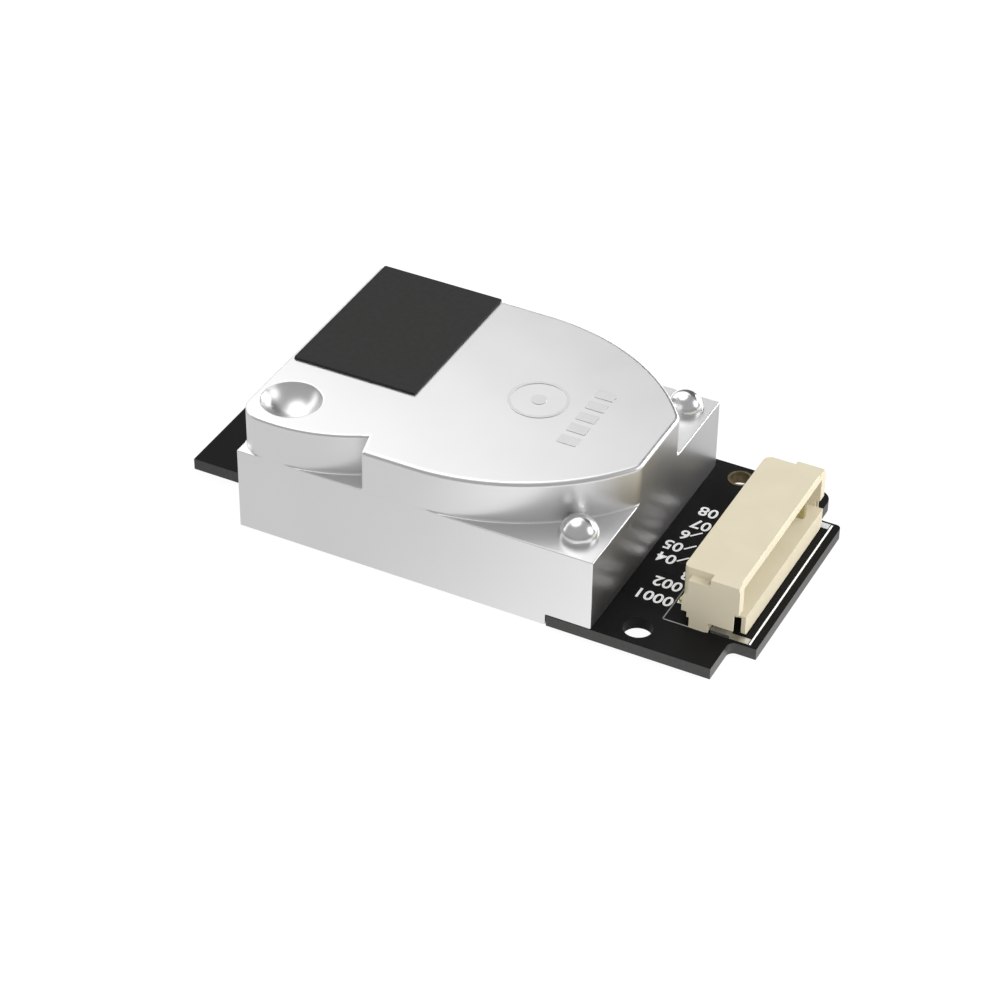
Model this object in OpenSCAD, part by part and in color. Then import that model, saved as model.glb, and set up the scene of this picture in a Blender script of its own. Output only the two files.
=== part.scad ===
// Infrared gas sensor module: a plated optical cavity on a small circuit board with a side-entry header.
// Lengths are in millimetres. Plan positions below are measured from the near left corner of the shell.
// The part's origin is the centre of the near mounting hole, on the underside of the board.

/* [Shell] */
// Length of the plated shell, left to right
shell_l = 37; // [36.8:0.1:37.6]
// Depth of the shell, near to far
shell_w = 28.4; // [28.2:0.1:28.8]
// Height of the shell's flange above the underside of the board
flange_z = 8.85; // [8.6:0.05:9.2]
// Height of the raised optical cavity above the underside of the board
top_z = 13.2; // [13.1:0.1:13.6]
// Wall thickness of the shell
wall = 1.2; // [1.1:0.05:1.3]
// Where the raised cavity steps from its lamp end to its wide end
step_x = 13.1; // [12.7:0.1:13.4]
// Where the wide end starts to bow inwards
bow_x = 18.5; // [18:0.1:19]
// Radius of the bowed sides of the wide end
bow_r = 22.35; // [22.2:0.05:22.8]
// Length of the near wall that reaches down over the board's edge
skirt_l = 32.4; // [31.6:0.1:32.8]

/* [Lamp end] */
// Radius of the near side of the lamp end
lamp_end_r = 17; // [16.5:0.1:17.5]
// Distance of the lamp's axis from the shell's left end
lamp_x = 3.66; // [3.6:0.02:3.8]
// Distance of the lamp's axis from the shell's near side
lamp_y = 4.31; // [4.2:0.02:4.4]
// Radius of the dimple's rim over the lamp
dimple_r = 2.9; // [2.7:0.05:2.95]
// Radius of the sphere that the dimple is cut from
dimple_sphere_r = 3.2; // [3.15:0.05:3.5]

/* [Board] */
// Thickness of the circuit board
board_t = 1.2; // [1.15:0.05:1.25]
// Where the board's wide part ends, from the shell's left end
board_l = 48.9; // [48.6:0.1:49.4]
// Depth of the board
board_w = 29.5; // [29.3:0.1:29.8]
// How far the left tab stands out of the shell
tab_l = 8.55; // [7:0.05:10]
// Distance of the left tab from the board's near and far sides
tab_inset = 5.7; // [5:0.1:7]
// How far the tongue under the header stands out
tongue_l = 2.6; // [2:0.1:3.2]
// Distance of the tongue from the board's near and far sides
tongue_inset = 4.4; // [4.1:0.05:4.5]

/* [Mounting holes] */
// Distance of the near hole from the shell's left end
hole_x = 40.7; // [40:0.1:41]
// Distance of the near hole from the board's near side
hole_y = 2.3; // [2:0.05:2.5]
// Radius of the near hole
hole_r = 1.41; // [1.2:0.01:1.45]
// Distance of the far hole from the shell's left end
ring_x = 39.95; // [39.5:0.05:40.5]
// Distance of the far hole from the board's near side
ring_y = 27.6; // [27:0.05:27.8]
// Radius of the far hole
ring_hole_r = 1.05; // [0.9:0.01:1.1]

/* [Header] */
// Number of contacts
contact_count = 8; // [8:1:8]
// Distance between contacts
contact_pitch = 2; // [2:0.01:2.02]
// Where the header's back stands, from the shell's left end
header_x = 43.6; // [43.5:0.05:43.7]
// Front-to-back length of the header
header_l = 5.9; // [5.8:0.05:6]
// Width of the header
header_w = 20.4; // [20.3:0.05:20.5]
// Height of the header's top above the underside of the board
header_z = 7.3; // [7.25:0.05:7.5]

/* [Membrane] */
// Length of the membrane, left to right
membrane_l = 13; // [12.4:0.1:13]
// Depth of the membrane
membrane_w = 18.1; // [17.6:0.1:18.1]
// Thickness of the membrane
membrane_t = 0.15; // [0.1:0.01:0.3]

/* [Hidden] */

$fn = 96;
gap = 0.1;            // assembly gap between the shell, the tray and the board
cut = 1;              // how far a cutter runs past the surface that it cuts
shell_mid_y = shell_w / 2;
board_top = board_t;
pad_t = 0.05;         // thickness of a copper pad
pad_top = board_top + pad_t;

// Shell
lamp_end_x = 3.9;     // centre of the lamp end's near side
corner_r = 2.6;       // near left corner of the lamp end
corner_y = lamp_end_r - sqrt(pow(lamp_end_r - corner_r, 2) - pow(lamp_end_x - corner_r, 2));
meet_x = lamp_end_x - (lamp_end_x - corner_r) * lamp_end_r / (lamp_end_r - corner_r);
dimple_z = top_z + sqrt(pow(dimple_sphere_r, 2) - pow(dimple_r, 2));
dimple_wall = 0.9;
inlet_r = 0.9;
inlet_pitch = 3.2;
inlet_x = 7;
inlet_y = 19.3;
mark_h = 0.12;        // height of the plain raised marks

// Rivets
rivets = [[34, 3.3, 1.95], [34.4, 26, 1.8]];    // plan position and radius of each head
rivet_r = 0.9;
rivet_tail_r = 1.5;
rivet_tail_h = 0.5;
post_r = 1.65;

// Tray
tray_z = 3.4;
tray_t = 0.8;
peg_r = 0.7;
pegs = [[4.2, 24.2], [21.5, 2.9]];
lamp_well_r = 1.75;
well_collar_t = 0.55;
well_collar_h = 0.6;

// Lamp
bulb_r = 1.55;
bulb_wall = 0.25;
bulb_z = 3;
bulb_dome_z = 8.2;
lamp_base_h = 1;
lead_r = 0.2;
lead_offset = 0.6;
lead_top = 6.6;
lead_tail = 0.6;      // how far a lead stands out under the board
coil_r = 0.25;
coil_wire_r = 0.06;
coil_turns = 5;

// Detector
detector_x = 28.5;
detector_y = shell_mid_y;
can_r = 4.1;
can_wall = 0.25;
can_top = 6.4;
header_disc_r = 4.55;
header_disc_z = 1.8;
header_disc_t = 0.6;
pin_circle_r = 2.54;
pin_r = 0.225;
window_l = 2;
window_w = 2.4;
window_offset = 1.55;
window_t = 0.4;
window_angles = [0, 180];
pin_angles = [45, 135, 225, 315];

// Chips: [centre x, centre y]
standoff = 0.1;
mcu_at = [13, 14.2];
mcu_size = [7, 7, 1.4];
mcu_leads = 8;        // on each side
mcu_pitch = 0.8;
mcu_lead_w = 0.35;
op_amp_at = [19, 21.6];
op_amp_size = [4.9, 3.9, 1.5];
op_amp_leads = 4;     // on each side
op_amp_pitch = 1.27;
op_amp_lead_w = 0.42;
regulator_at = [9.5, 22.4];
regulator_size = [6.5, 3.5, 1.6];
regulator_pitch = 2.3;
regulator_lead_w = 0.7;
regulator_tab_w = 3;
driver_at = [9.2, 6];
driver_size = [2.9, 1.3, 1];
driver_pitch = 1.9;
driver_lead_w = 0.4;
tantalum_at = [15, 6];
tantalum_size = [3.5, 2.8, 1.9];
crystal_at = [20.6, 14.2];
crystal_size = [3.2, 2.5, 0.8];
thermistor_at = [30.5, 21.8];
passive_l = 1.6;      // chip resistors and capacitors
passive_w = 0.8;
passive_cap = 0.3;
resistor_h = 0.45;
capacitor_h = 0.8;
passive_pitch = 2.2;
passive_x = 19.2;
passive_count = 6;
resistor_y = 5.2;
capacitor_y = 7.6;
far_capacitors = [[24, 22.5], [26.2, 22.5], [24, 24.6], [26.2, 24.6]];

// Header
header_mid_y = tongue_inset + (board_w - 2 * tongue_inset) / 2;
header_y0 = header_mid_y - header_w / 2;
header_y1 = header_mid_y + header_w / 2;
header_front = header_x + header_l;
header_base_z = 2.3;
mouth_z0 = 3.5;
mouth_z1 = 6.75;
header_side = 1;
header_back = 1.3;
shoulder_x = 46.6;    // the header's ends are stepped in behind here
near_shoulder = 0.9;
far_shoulder = 0.5;
ledge_z = 6.5;
cheek_x = 44.45;      // back of the part below the ledge
ear_x = 43.9;
ear_z0 = 2.9;
ear_z1 = 4.6;
foot_x = 44.7;
lip_x = 49.2;         // the front corners are cut away in front of here
lip_back_x = 48.8;
lip_cut_z = 4.25;
nick_x = 46.2;        // a small pocket in the ledge, up to the shoulder
nick_w = 0.55;
nick_z = 6;
contact_w = 0.5;
contact_z = 4.9;
contact_tip = 48.2;
long_x = 47;          // the last contact ends in a taller and longer blade, so it mates first
long_tip = 48.9;
long_z = 3.6;
contact_riser_x = 42.9;
contact_riser_t = 0.4;
contact_foot_x = 42.45;
contact_foot_t = 0.25;
contact_pad_l = 1.3;
contact_pad_w = 1;
first_contact_y = header_mid_y - (contact_count - 1) * contact_pitch / 2;
anchor_x0 = 46.8;
anchor_x1 = 50.5;
anchor_inset = 0.15;
anchor_w = 0.8;
anchor_l = 1.9;
anchor_t = 0.3;

// Far hole and test pads
ring_w = 0.2;         // width of the plated ring around the hole
test_pad_r = 0.6;
test_pad_count = 5;
test_pad_pitch = 2.2;
test_pad_x = 12;
test_pad_y = 22;

function end_ys(y0, y1, w) = [y0, y1 - w];

// Moves a shape from the shell's corner to the part's origin.
module placed() {
    translate([-hole_x, -hole_y, 0])
        children();
}

// A box between two corners.
module block(low, high) {
    translate(low)
        cube(high - low);
}

// An upright cylinder between two heights.
module rod(at, r, z0, z1) {
    translate([at[0], at[1], z0])
        cylinder(r = r, h = z1 - z0);
}

// An upright tube between two heights.
module tube(at, r_in, r_out, z0, z1) {
    difference() {
        rod(at, r_out, z0, z1);
        rod(at, r_in, z0 - cut, z1 + cut);
    }
}

// A box on the board, centred on a plan position.
module chip(at, size, z0) {
    translate([at[0] - size[0] / 2, at[1] - size[1] / 2, z0])
        cube(size);
}

// The raised cavity's solid between two heights, with its outline drawn in by an inset.
module cavity_form(inset, z0, z1) {
    far_y = shell_w - inset;
    lamp_x1 = step_x + inset;
    // Lamp end: a rounded near corner, a bowed near side and a straight far side
    rod([corner_r, corner_y], corner_r - inset, z0, z1);
    intersection() {
        rod([lamp_end_x, lamp_end_r], lamp_end_r - inset, z0, z1);
        block([meet_x, -cut, z0 - cut], [lamp_x1, lamp_end_r, z1 + cut]);
    }
    block([inset, corner_y, z0], [lamp_x1, far_y, z1]);
    // Wide end: straight next to the step, then bowed to a narrow right end
    block([lamp_x1, inset, z0], [bow_x, far_y, z1]);
    intersection() {
        rod([bow_x, bow_r], bow_r - inset, z0, z1);
        rod([bow_x, shell_w - bow_r], bow_r - inset, z0, z1);
        block([bow_x, -cut, z0 - cut], [shell_l - inset, shell_w + cut, z1 + cut]);
    }
}

// Circuit board: wide part, left tab, tongue under the header, and every drilled hole.
module board() {
    skirt_in = wall + gap;
    wide_r = 1.5;
    tongue_r = 0.5;
    tongue_x = board_l + tongue_l;
    tongue_y0 = tongue_inset;
    tongue_y1 = board_w - tongue_inset;
    color([0.07, 0.07, 0.07])
    placed()
    difference() {
        union() {
            block([skirt_in, skirt_in, 0], [board_l - wide_r, board_w, board_t]);
            block([skirt_l + gap, 0, 0], [board_l, board_w - wide_r, board_t]);
            rod([board_l - wide_r, board_w - wide_r], wide_r, 0, board_t);
            block([-tab_l, tab_inset, 0], [skirt_in + cut, board_w - tab_inset, board_t]);
            block([board_l - cut, tongue_y0, 0], [tongue_x - tongue_r, tongue_y1, board_t]);
            block([board_l - cut, tongue_y0, 0], [tongue_x, tongue_y1 - tongue_r, board_t]);
            rod([tongue_x - tongue_r, tongue_y1 - tongue_r], tongue_r, 0, board_t);
        }
        rod([hole_x, hole_y], hole_r, -cut, board_t + cut);
        rod([ring_x, ring_y], ring_hole_r, -cut, board_t + cut);
        for (p = rivets) rod(p, rivet_r + gap / 2, -cut, board_t + cut);
        for (p = pegs) rod(p, peg_r + gap / 2, -cut, board_t + cut);
        for (p = lead_places()) rod(p, lead_r + gap / 2, -cut, board_t + cut);
        for (p = pin_places()) rod(p, pin_r + gap / 2, -cut, board_t + cut);
    }
}

// Plan positions of the nine gas inlets under the membrane.
function inlet_places() = [for (i = [-1, 0, 1], j = [-1, 0, 1])
    [inlet_x + i * inlet_pitch, inlet_y + j * inlet_pitch]];

// Plated upper shell: flange, raised cavity, skirt, dimple, gas inlets and plain raised marks.
module cavity_cover() {
    inner_z = flange_z - wall;
    color([0.83, 0.83, 0.84])
    placed()
    difference() {
        union() {
            block([0, 0, board_top], [shell_l, shell_w, flange_z]);
            block([0, 0, 0], [skirt_l, wall, board_top]);
            block([0, 0, 0], [wall, tab_inset - gap, board_top]);
            block([0, board_w - tab_inset + gap, 0], [wall, shell_w, board_top]);
            cavity_form(0, flange_z - cut, top_z);
            raised_marks();
        }
        difference() {
            union() {
                block([wall, wall, -cut], [shell_l - wall, shell_w - wall, inner_z]);
                cavity_form(wall, inner_z - cut, top_z - wall);
            }
            translate([lamp_x, lamp_y, dimple_z])
                sphere(r = dimple_sphere_r + dimple_wall);
        }
        translate([lamp_x, lamp_y, dimple_z])
            sphere(r = dimple_sphere_r);
        for (p = rivets) rod(p, rivet_r + gap / 2, flange_z - wall - cut, flange_z + cut);
        for (p = inlet_places())
            rod(p, inlet_r, top_z - wall - cut, top_z + cut);
    }
}

// Plain raised ring, dot and bars on top of the shell.
module raised_marks() {
    ring_at = [24.1, 15];
    ring_out_r = 3;
    ring_in_r = 2.6;
    dot_r = 0.8;
    bar_x = 28.4;
    bar_l = 2;
    bar_w = 1.3;
    bar_pitch = 2;
    bar_y = 9.8;
    bar_count = 5;
    base_z = top_z - mark_h;
    tube(ring_at, ring_in_r, ring_out_r, base_z, top_z + mark_h);
    rod(ring_at, dot_r, base_z, top_z + mark_h);
    for (i = [0 : bar_count - 1])
        translate([bar_x, bar_y + i * bar_pitch, base_z])
            cube([bar_l, bar_w, 2 * mark_h]);
}

// Plated tray that closes the cavity from below, with posts under the flange and pegs into the board.
module reflector_tray() {
    side = wall + gap;
    rim_t = 0.8;
    well_gap = 0.15;
    detector_well_r = header_disc_r + well_gap;
    color([0.80, 0.80, 0.82])
    placed()
    difference() {
        union() {
            difference() {
                block([side, side, board_top], [shell_l - side, shell_w - side, tray_z + tray_t]);
                block([side + rim_t, side + rim_t, board_top - cut],
                      [shell_l - side - rim_t, shell_w - side - rim_t, tray_z]);
            }
            rivet_posts(side);
            for (p = pegs) rod(p, peg_r, 0, tray_z + tray_t / 2);
            rod([lamp_x, lamp_y], lamp_well_r + well_collar_t, tray_z, tray_z + tray_t + well_collar_h);
        }
        rod([lamp_x, lamp_y], lamp_well_r, tray_z - cut, tray_z + tray_t + well_collar_h + cut);
        rod([detector_x, detector_y], detector_well_r, tray_z - cut, tray_z + tray_t + cut);
        for (p = rivets) rod(p, rivet_r + gap / 2, board_top - cut, flange_z);
    }
}

// Posts that hold the flange up around the rivets, trimmed flush with the tray's sides.
module rivet_posts(side) {
    intersection() {
        for (p = rivets) rod(p, post_r, board_top, flange_z - wall);
        block([side, side, board_top], [shell_l - side, shell_w - side, flange_z]);
    }
}

// Two domed rivets through the flange, the tray's posts and the board.
module cover_rivets() {
    color([0.86, 0.86, 0.88])
    placed()
    for (p = rivets) {
        intersection() {
            translate([p[0], p[1], flange_z])
                sphere(r = p[2]);
            rod(p, p[2] + cut, flange_z, flange_z + p[2] + cut);
        }
        rod(p, rivet_r, -rivet_tail_h, flange_z);
        rod(p, rivet_tail_r, -rivet_tail_h, 0);
    }
}

// Corner of the membrane nearest to the shell's corner.
function membrane_at() = [0.5, shell_w - gap - membrane_w];

// Black filter sheet over the gas inlets.
module membrane() {
    base_z = top_z + 2 * pad_t;
    color([0.2, 0.2, 0.2])
    placed()
    translate([membrane_at()[0], membrane_at()[1], base_z])
        cube([membrane_l, membrane_w, membrane_t]);
}

// Adhesive frame under the membrane, open over the gas inlets.
module membrane_adhesive() {
    frame_w = 2;
    low = membrane_at();
    color([0.9, 0.9, 0.85])
    placed()
    difference() {
        block([low[0], low[1], top_z], [low[0] + membrane_l, low[1] + membrane_w, top_z + 2 * pad_t]);
        block([low[0] + frame_w, low[1] + frame_w, top_z - cut],
              [low[0] + membrane_l - frame_w, low[1] + membrane_w - frame_w, top_z + cut]);
    }
}

// Plan positions of the lamp's two leads.
function lead_places() = [for (s = [-1, 1]) [lamp_x + s * lead_offset, lamp_y]];

// Glass envelope of the lamp, open at the bottom.
module lamp_bulb() {
    color([0.85, 0.9, 0.92, 0.5])
    placed()
    difference() {
        union() {
            rod([lamp_x, lamp_y], bulb_r, bulb_z, bulb_dome_z);
            translate([lamp_x, lamp_y, bulb_dome_z])
                sphere(r = bulb_r);
        }
        rod([lamp_x, lamp_y], bulb_r - bulb_wall, bulb_z - cut, bulb_dome_z);
        translate([lamp_x, lamp_y, bulb_dome_z])
            sphere(r = bulb_r - bulb_wall);
    }
}

// Bead that closes the lamp and holds its leads apart.
module lamp_base() {
    color([0.8, 0.85, 0.85])
    placed()
    difference() {
        rod([lamp_x, lamp_y], bulb_r - bulb_wall, bulb_z, bulb_z + lamp_base_h);
        for (p = lead_places()) rod(p, lead_r, bulb_z - cut, bulb_z + lamp_base_h + cut);
    }
}

// Filament between the lead tips: each turn of the coil is a thin disc on the wire.
module lamp_filament() {
    span = 2 * (lead_offset - lead_r);
    turn_pitch = span / (coil_turns + 1);
    color([0.35, 0.35, 0.38])
    placed()
    translate([lamp_x - span / 2, lamp_y, lead_top - coil_r])
    rotate([0, 90, 0]) {
        cylinder(r = coil_wire_r, h = span);
        for (i = [1 : coil_turns])
            translate([0, 0, i * turn_pitch - coil_wire_r / 2])
                cylinder(r = coil_r, h = coil_wire_r);
    }
}

// Lamp leads from the filament down through the board.
module lamp_leads() {
    color([0.75, 0.75, 0.75])
    placed()
    for (p = lead_places()) rod(p, lead_r, -lead_tail, lead_top);
}

// Soft spacer that holds the lamp off the board.
module lamp_spacer() {
    color([0.85, 0.83, 0.78])
    placed()
    difference() {
        rod([lamp_x, lamp_y], bulb_r, board_top, bulb_z);
        for (p = lead_places()) rod(p, lead_r, board_top - cut, bulb_z + cut);
    }
}

// Plan positions of the detector's four pins.
function pin_places() = [for (a = pin_angles)
    [detector_x + pin_circle_r * cos(a), detector_y + pin_circle_r * sin(a)]];

// One box per detector window, grown by a margin on each side.
module window_boxes(margin, z0, z1) {
    for (a = window_angles)
        translate([detector_x + window_offset * cos(a), detector_y, 0])
            block([-window_l / 2 - margin, -window_w / 2 - margin, z0],
                  [window_l / 2 + margin, window_w / 2 + margin, z1]);
}

// Metal can of the two-channel detector, with two window openings in its top.
module detector_can() {
    disc_top = header_disc_z + header_disc_t;
    color([0.78, 0.76, 0.7])
    placed()
    difference() {
        rod([detector_x, detector_y], can_r, disc_top, can_top);
        rod([detector_x, detector_y], can_r - can_wall, disc_top - cut, can_top - can_wall);
        window_boxes(0, can_top - can_wall - cut, can_top + cut);
    }
}

// Base disc of the detector, drilled for its pins.
module detector_header() {
    disc_top = header_disc_z + header_disc_t;
    color([0.8, 0.68, 0.4])
    placed()
    difference() {
        rod([detector_x, detector_y], header_disc_r, header_disc_z, disc_top);
        for (p = pin_places()) rod(p, pin_r, header_disc_z - cut, disc_top + cut);
    }
}

// Two optical filters that fill the detector's window openings.
module detector_windows() {
    color([0.35, 0.25, 0.45])
    placed()
    window_boxes(0, can_top - window_t, can_top);
}

// Two sensing chips on the detector's base.
module detector_chips() {
    chip_w = 1.3;
    chip_h = 0.4;
    color([0.25, 0.25, 0.28])
    placed()
    for (a = window_angles)
        chip([detector_x + window_offset * cos(a), detector_y], [chip_w, chip_w, chip_h],
             header_disc_z + header_disc_t);
}

// Detector pins from the base disc down through the board.
module detector_pins() {
    inside = 0.3;
    color([0.85, 0.7, 0.4])
    placed()
    for (p = pin_places()) rod(p, pin_r, -lead_tail, header_disc_z + header_disc_t + inside);
}

// Foam ring between the detector and the board.
module detector_gasket() {
    pin_clearance = 0.6;
    edge_inset = 0.3;
    color([0.25, 0.25, 0.25])
    placed()
    tube([detector_x, detector_y], pin_circle_r + pin_clearance, header_disc_r - edge_inset,
         board_top, header_disc_z);
}

// Chip bodies.
module microcontroller() {
    color([0.13, 0.13, 0.14])
    placed()
    chip(mcu_at, mcu_size, board_top + standoff);
}

module op_amp() {
    color([0.13, 0.13, 0.14])
    placed()
    chip(op_amp_at, op_amp_size, board_top + standoff);
}

module regulator() {
    color([0.13, 0.13, 0.14])
    placed()
    chip(regulator_at, regulator_size, board_top + standoff);
}

module lamp_driver() {
    color([0.13, 0.13, 0.14])
    placed()
    chip(driver_at, driver_size, board_top + standoff);
}

// One bent lead that leaves a chip's side along +X at mid height and lands on the board.
module bent_lead(chip_h, width) {
    t = 0.15;
    reach = 0.95;
    knee = 0.35;
    mid_z = board_top + standoff + chip_h / 2;
    translate([0, width / 2, 0])
    rotate([90, 0, 0])
    linear_extrude(width)
        polygon([[0, mid_z], [knee, mid_z], [knee, board_top], [reach, board_top], [reach, board_top + t],
                 [knee + t, board_top + t], [knee + t, mid_z + t], [0, mid_z + t]]);
}

// A row of leads along one side of a chip: side is the angle that the leads point to.
module lead_row(at, out, side, count, pitch, width, chip_h) {
    translate([at[0], at[1], 0])
    rotate(side)
    for (i = [0 : count - 1])
        translate([out, (i - (count - 1) / 2) * pitch, 0])
            bent_lead(chip_h, width);
}

// Leads of all chips with bent leads.
module chip_leads() {
    color([0.8, 0.8, 0.8])
    placed() {
        for (a = [0, 90, 180, 270])
            lead_row(mcu_at, mcu_size[0] / 2, a, mcu_leads, mcu_pitch, mcu_lead_w, mcu_size[2]);
        for (a = [90, 270])
            lead_row(op_amp_at, op_amp_size[1] / 2, a, op_amp_leads, op_amp_pitch, op_amp_lead_w,
                     op_amp_size[2]);
        lead_row(regulator_at, regulator_size[1] / 2, 270, 3, regulator_pitch, regulator_lead_w,
                 regulator_size[2]);
        lead_row(regulator_at, regulator_size[1] / 2, 90, 1, 0, regulator_tab_w, regulator_size[2]);
        lead_row(driver_at, driver_size[1] / 2, 270, 2, driver_pitch, driver_lead_w, driver_size[2]);
        lead_row(driver_at, driver_size[1] / 2, 90, 1, 0, driver_lead_w, driver_size[2]);
    }
}

// Plan positions of the chip resistors and chip capacitors.
function row_places(y) = [for (i = [0 : passive_count - 1]) [passive_x + i * passive_pitch, y]];
function resistor_places() = row_places(resistor_y);
function capacitor_places() = concat(row_places(capacitor_y), far_capacitors);

// The insulating middle of a chip part whose end caps are drawn apart.
module passive_body(at, h) {
    chip(at, [passive_w, passive_l - 2 * passive_cap, h], board_top);
}

// The two end caps of a chip part.
module passive_caps(at, h) {
    for (s = [-1, 1])
        chip([at[0], at[1] + s * (passive_l - passive_cap) / 2], [passive_w, passive_cap, h], board_top);
}

module chip_resistors() {
    color([0.1, 0.1, 0.1])
    placed()
    for (p = resistor_places()) passive_body(p, resistor_h);
}

module chip_capacitors() {
    color([0.6, 0.45, 0.3])
    placed()
    for (p = capacitor_places()) passive_body(p, capacitor_h);
}

// Tinned end caps of the chip parts and of the tantalum capacitor.
module chip_end_caps() {
    tab_size = [0.15, 2.2, 1.1];
    color([0.8, 0.8, 0.8])
    placed() {
        for (p = resistor_places()) passive_caps(p, resistor_h);
        for (p = capacitor_places()) passive_caps(p, capacitor_h);
        passive_caps(thermistor_at, resistor_h);
        for (s = [-1, 1])
            chip(tantalum_at + [s * (tantalum_size[0] + tab_size[0]) / 2, 0], tab_size, board_top);
    }
}

module tantalum_capacitor() {
    color([0.75, 0.55, 0.15])
    placed()
    chip(tantalum_at, tantalum_size, board_top);
}

// Crystal: ceramic tray with a metal lid.
module crystal() {
    lid_inset = 0.2;
    lid_h = 0.1;
    color([0.75, 0.73, 0.68])
    placed()
    union() {
        chip(crystal_at, [crystal_size[0], crystal_size[1], crystal_size[2] - lid_h], board_top);
        chip(crystal_at, [crystal_size[0] - 2 * lid_inset, crystal_size[1] - 2 * lid_inset, crystal_size[2]],
             board_top);
    }
}

module thermistor() {
    color([0.2, 0.35, 0.25])
    placed()
    passive_body(thermistor_at, resistor_h);
}

// Cream header housing with its mouth towards +X.
module header_housing() {
    color([0.87, 0.83, 0.71])
    placed()
    difference() {
        union() {
            block([header_x, header_y0 + near_shoulder, header_base_z],
                  [shoulder_x, header_y1 - far_shoulder, header_z]);
            header_front_part();
            for (y = end_ys(header_y0, header_y1, header_side)) {
                block([cheek_x, y, header_base_z], [shoulder_x, y + header_side, ledge_z]);
                block([ear_x, y, ear_z0], [cheek_x + cut, y + header_side, ear_z1]);
                block([foot_x, y, board_top], [shoulder_x, y + header_side, header_base_z + cut]);
            }
        }
        block([header_x + header_back, header_y0 + header_side, mouth_z0],
              [header_front + cut, header_y1 - header_side, mouth_z1]);
        block([nick_x, header_y0 + near_shoulder - nick_w, nick_z],
              [shoulder_x, header_y0 + near_shoulder, header_z + cut]);
        for (i = [0 : contact_count - 1])
            contact_block(i, header_x - cut, header_x + header_back + cut,
                          contact_z, contact_z + contact_w, gap / 4);
    }
}

// Front of the header, with its lower corners cut away and a lip that reaches down to the board.
module header_front_part() {
    difference() {
        block([shoulder_x, header_y0, header_base_z], [header_front, header_y1, header_z]);
        for (y = [header_y0 - cut, header_y1 - header_side])
            block([lip_x, y, header_base_z - cut], [header_front + cut, y + header_side + cut, lip_cut_z]);
    }
    block([lip_back_x, header_y0 + header_side, board_top + gap],
          [header_front, header_y1 - header_side, mouth_z0]);
}

// A box around contact number i between two x positions and two heights, grown by a margin.
module contact_block(i, x0, x1, z0, z1, margin) {
    y = first_contact_y + i * contact_pitch;
    block([x0, y - contact_w / 2 - margin, z0 - margin], [x1, y + contact_w / 2 + margin, z1 + margin]);
}

// Contacts: a pin in the mouth, a riser behind the housing and a foot on the board.
module header_contacts() {
    riser_x1 = contact_riser_x + contact_riser_t;
    foot_top = pad_top + contact_foot_t;
    color([0.85, 0.8, 0.6])
    placed()
    for (i = [0 : contact_count - 1])
        union() {
            contact_block(i, contact_riser_x, contact_tip, contact_z, contact_z + contact_w, 0);
            if (i == contact_count - 1)
                contact_block(i, long_x, long_tip, long_z, contact_z + contact_w, 0);
            contact_block(i, contact_riser_x, riser_x1, pad_top, contact_z + contact_w, 0);
            contact_block(i, contact_foot_x, riser_x1, pad_top, foot_top, 0);
        }
}

// Near edge of each anchor strip, at the near end and at the far end of the header.
function anchor_ys() = [header_y0 + anchor_inset, header_y1 - anchor_inset - anchor_w];

// Metal anchors that hold the header's ends to the board.
module header_anchors() {
    anchor_end = anchor_x0 + anchor_l;
    color([0.8, 0.8, 0.8])
    placed()
    for (y = anchor_ys())
        block([anchor_x0, y, pad_top], [anchor_end, y + anchor_w, pad_top + anchor_t]);
}

// Pads under the contacts' feet.
module contact_pads() {
    color([0.75, 0.75, 0.75])
    placed()
    for (i = [0 : contact_count - 1])
        chip([contact_foot_x + contact_pad_l / 2 - gap, first_contact_y + i * contact_pitch],
             [contact_pad_l, contact_pad_w, pad_t], board_top);
}

// Pads under the anchors.
module anchor_pads() {
    color([0.75, 0.75, 0.75])
    placed()
    for (y = anchor_ys())
        block([anchor_x0, y, board_top], [anchor_x1, y + anchor_w, pad_top]);
}

// Plated rings around the far hole, on both faces of the board.
module hole_rings() {
    color([0.75, 0.6, 0.3])
    placed() {
        tube([ring_x, ring_y], ring_hole_r, ring_hole_r + ring_w, board_top, pad_top);
        tube([ring_x, ring_y], ring_hole_r, ring_hole_r + ring_w, -pad_t, 0);
    }
}

// A solder cone and its pad under the board, around a lead.
module solder_joint(at, r_in, cone_r, pad_r) {
    difference() {
        union() {
            translate([at[0], at[1], -lead_tail])
                cylinder(r1 = r_in + gap, r2 = cone_r, h = lead_tail - pad_t);
            rod(at, pad_r, -pad_t, 0);
        }
        rod(at, r_in, -lead_tail - cut, cut);
    }
}

module solder_joints() {
    lead_cone_r = 0.45;
    lead_pad_r = 0.52;
    pin_cone_r = 0.75;
    pin_pad_r = 0.9;
    color([0.78, 0.78, 0.78])
    placed() {
        for (p = lead_places()) solder_joint(p, lead_r, lead_cone_r, lead_pad_r);
        for (p = pin_places()) solder_joint(p, pin_r, pin_cone_r, pin_pad_r);
    }
}

// Round test pads on the underside of the board.
module test_pads() {
    color([0.8, 0.65, 0.35])
    placed()
    for (i = [0 : test_pad_count - 1])
        rod([test_pad_x + i * test_pad_pitch, test_pad_y], test_pad_r, -pad_t, 0);
}

board();
cavity_cover();
reflector_tray();
cover_rivets();
membrane();
membrane_adhesive();
lamp_bulb();
lamp_base();
lamp_filament();
lamp_leads();
lamp_spacer();
detector_can();
detector_header();
detector_windows();
detector_chips();
detector_pins();
detector_gasket();
microcontroller();
op_amp();
regulator();
lamp_driver();
chip_leads();
chip_resistors();
chip_capacitors();
chip_end_caps();
tantalum_capacitor();
crystal();
thermistor();
header_housing();
header_contacts();
header_anchors();
contact_pads();
anchor_pads();
hole_rings();
solder_joints();
test_pads();
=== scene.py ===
import math

import bmesh
import bpy
from mathutils import Matrix, Vector


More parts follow.
